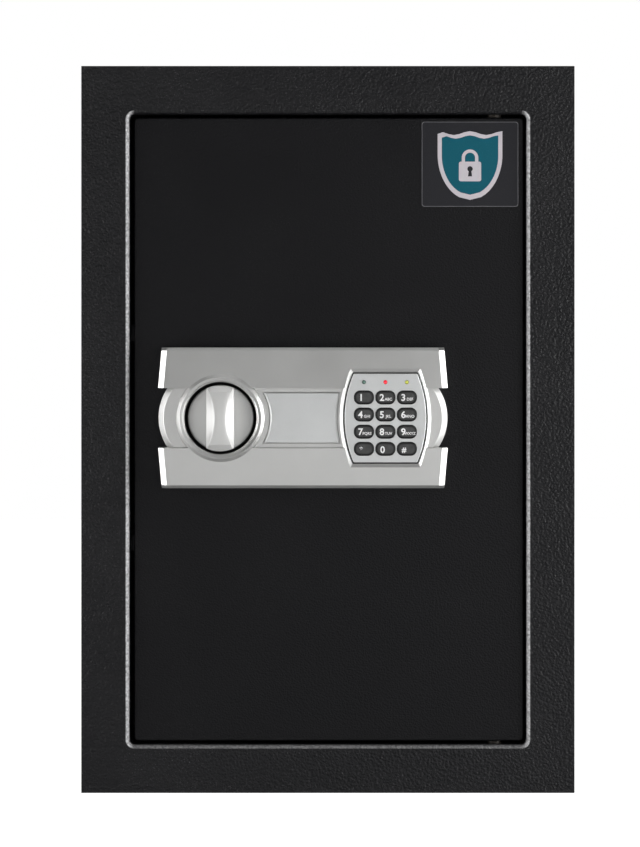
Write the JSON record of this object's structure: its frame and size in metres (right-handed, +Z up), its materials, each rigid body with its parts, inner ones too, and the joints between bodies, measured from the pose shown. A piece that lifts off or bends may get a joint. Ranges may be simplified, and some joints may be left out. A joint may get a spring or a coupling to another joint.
{
  "type": "recessed wall safe",
  "caption": "Recessed steel wall safe with flange, hinged door, silver lock fascia, turning knob, keypad, override lock, bolts, shelves",
  "frame": {"origin": "centre of the flange, in the plane of the wall's face (back of the flange)", "axes": "+X to the right seen from the room, +Y into the wall, +Z up"},
  "size_m": [0.38, 0.1275, 0.56],
  "materials": {
    "black_powder_coat": "fine textured powder coat, low sheen",
    "shelf_paint": "smooth satin dark grey paint",
    "zinc_plated_steel": "bright zinc plate",
    "bright_steel": "ground steel",
    "bolt_chrome": "polished chrome plate",
    "lock_nickel": "nickel plate",
    "black_screw_steel": "black oxide",
    "brass": "turned brass",
    "copper_winding": "enamelled copper wire",
    "charcoal_felt": "needled felt",
    "satin_silver_paint": "satin silver paint",
    "pad_silver": "satin silver paint",
    "key_rubber": "matt silicone rubber",
    "board_green": "solder mask",
    "lamp_green": "tinted lens",
    "lamp_red": "tinted lens",
    "lamp_yellow": "tinted lens",
    "label_film": "printed film",
    "black_plastic": "fine moulded texture",
    "cell_jacket": "printed shrink sleeve",
    "lead_insulation": "insulated leads",
    "red_plastic": "moulded gloss"
  },
  "bodies": {
    "body": {"front_frame": "black_powder_coat", "body_shell": "black_powder_coat", "back_panel": "black_powder_coat", "strike_plate": "zinc_plated_steel", "hinge_brackets": "black_powder_coat", "hinge_bushes": "brass", "floor_mat": "charcoal_felt", "shelf_pins": "zinc_plated_steel"},
    "shelf_upper_body": {"shelf_upper": "shelf_paint"},
    "shelf_lower_body": {"shelf_lower": "shelf_paint"},
    "door": {"door_plate": "black_powder_coat", "door_inner_frame": "black_powder_coat", "inner_cover": "black_powder_coat", "cover_screws": "black_screw_steel", "hinge_lugs": "black_powder_coat", "hinge_pins": "zinc_plated_steel", "door_label": "label_film", "fascia": "satin_silver_paint", "fascia_screws": "zinc_plated_steel", "keypad_plate": "pad_silver", "keypad_mat": "key_rubber", "keypad_board": "board_green", "led_green": "lamp_green", "led_red": "lamp_red", "led_yellow": "lamp_yellow", "spindle_bush": "brass", "carriage_studs": "zinc_plated_steel", "lock_cylinder": "lock_nickel", "lock_nut": "brass", "solenoid_frame": "zinc_plated_steel", "solenoid_coil": "copper_winding", "solenoid_spring": "bright_steel", "battery_case": "black_plastic", "batteries": "cell_jacket", "battery_contacts": "bright_steel", "wiring_loom": "lead_insulation"},
    "knob_body": {"knob": "satin_silver_paint", "spindle": "zinc_plated_steel", "drive_crank": "zinc_plated_steel"},
    "carriage": {"bolt_carriage": "zinc_plated_steel", "locking_bolts": "bolt_chrome", "bolt_screws": "black_screw_steel"},
    "plunger": {"solenoid_plunger": "bright_steel"},
    "lock_core": {"lock_plug": "brass", "lock_cam": "zinc_plated_steel"},
    "cylinder_cover": {"override_cover": "satin_silver_paint"},
    "battery_lid_body": {"battery_lid": "black_plastic"},
    "reset_body": {"reset_button": "red_plastic"},
    "key_body_1": {"key_1": "key_rubber"},
    "key_body_2": {"key_2": "key_rubber"},
    "key_body_3": {"key_3": "key_rubber"},
    "key_body_4": {"key_4": "key_rubber"},
    "key_body_5": {"key_5": "key_rubber"},
    "key_body_6": {"key_6": "key_rubber"},
    "key_body_7": {"key_7": "key_rubber"},
    "key_body_8": {"key_8": "key_rubber"},
    "key_body_9": {"key_9": "key_rubber"},
    "key_body_star": {"key_star": "key_rubber"},
    "key_body_0": {"key_0": "key_rubber"},
    "key_body_hash": {"key_hash": "key_rubber"}
  },
  "joints": [
    {"name": "door_hinge", "type": "hinge", "parent": "body", "child": "door", "pos_m": [0.129, 0.01, 0], "axis": [0, 0, 1], "range_deg": [0, 100]},
    {"name": "knob_turn", "type": "hinge", "parent": "door", "child": "knob_body", "pos_m": [-0.0822, 0, 0.0092], "axis": [0, -1, 0], "range_deg": [0, 60]},
    {"name": "bolt_slide", "type": "slide", "parent": "door", "child": "carriage", "axis": [-1, 0, 0], "range_m": [0, 0.015]},
    {"name": "plunger_slide", "type": "slide", "parent": "door", "child": "plunger", "axis": [0, 0, -1], "range_m": [0, 0.005], "deforming": ["solenoid_spring"]},
    {"name": "lock_turn", "type": "hinge", "parent": "door", "child": "lock_core", "pos_m": [-0.02, 0, 0.0092], "axis": [0, -1, 0], "range_deg": [-75, 0]},
    {"name": "cover_pull", "type": "slide", "parent": "door", "child": "cylinder_cover", "axis": [0, -1, 0], "range_m": [0, 0.012]},
    {"name": "battery_lid_pull", "type": "slide", "parent": "door", "child": "battery_lid_body", "axis": [0, 1, 0], "range_m": [0, 0.01]},
    {"name": "reset_press", "type": "slide", "parent": "door", "child": "reset_body", "axis": [0, -1, 0], "range_m": [0, 0.0015], "stiffness_N_per_m": 400},
    {"name": "shelf_upper_lift", "type": "slide", "parent": "body", "child": "shelf_upper_body", "axis": [0, 0, 1], "range_m": [0, 0.02]},
    {"name": "shelf_lower_lift", "type": "slide", "parent": "body", "child": "shelf_lower_body", "axis": [0, 0, 1], "range_m": [0, 0.02]},
    {"name": "press_1", "type": "slide", "parent": "door", "child": "key_body_1", "axis": [0, 1, 0], "range_m": [0, 0.0012], "stiffness_N_per_m": 500},
    {"name": "press_2", "type": "slide", "parent": "door", "child": "key_body_2", "axis": [0, 1, 0], "range_m": [0, 0.0012], "stiffness_N_per_m": 500},
    {"name": "press_3", "type": "slide", "parent": "door", "child": "key_body_3", "axis": [0, 1, 0], "range_m": [0, 0.0012], "stiffness_N_per_m": 500},
    {"name": "press_4", "type": "slide", "parent": "door", "child": "key_body_4", "axis": [0, 1, 0], "range_m": [0, 0.0012], "stiffness_N_per_m": 500},
    {"name": "press_5", "type": "slide", "parent": "door", "child": "key_body_5", "axis": [0, 1, 0], "range_m": [0, 0.0012], "stiffness_N_per_m": 500},
    {"name": "press_6", "type": "slide", "parent": "door", "child": "key_body_6", "axis": [0, 1, 0], "range_m": [0, 0.0012], "stiffness_N_per_m": 500},
    {"name": "press_7", "type": "slide", "parent": "door", "child": "key_body_7", "axis": [0, 1, 0], "range_m": [0, 0.0012], "stiffness_N_per_m": 500},
    {"name": "press_8", "type": "slide", "parent": "door", "child": "key_body_8", "axis": [0, 1, 0], "range_m": [0, 0.0012], "stiffness_N_per_m": 500},
    {"name": "press_9", "type": "slide", "parent": "door", "child": "key_body_9", "axis": [0, 1, 0], "range_m": [0, 0.0012], "stiffness_N_per_m": 500},
    {"name": "press_star", "type": "slide", "parent": "door", "child": "key_body_star", "axis": [0, 1, 0], "range_m": [0, 0.0012], "stiffness_N_per_m": 500},
    {"name": "press_0", "type": "slide", "parent": "door", "child": "key_body_0", "axis": [0, 1, 0], "range_m": [0, 0.0012], "stiffness_N_per_m": 500},
    {"name": "press_hash", "type": "slide", "parent": "door", "child": "key_body_hash", "axis": [0, 1, 0], "range_m": [0, 0.0012], "stiffness_N_per_m": 500}
  ],
  "couplings": [
    {"joint": "bolt_slide", "follows": "knob_turn", "m_per_rad": 0.014324}
  ]
}
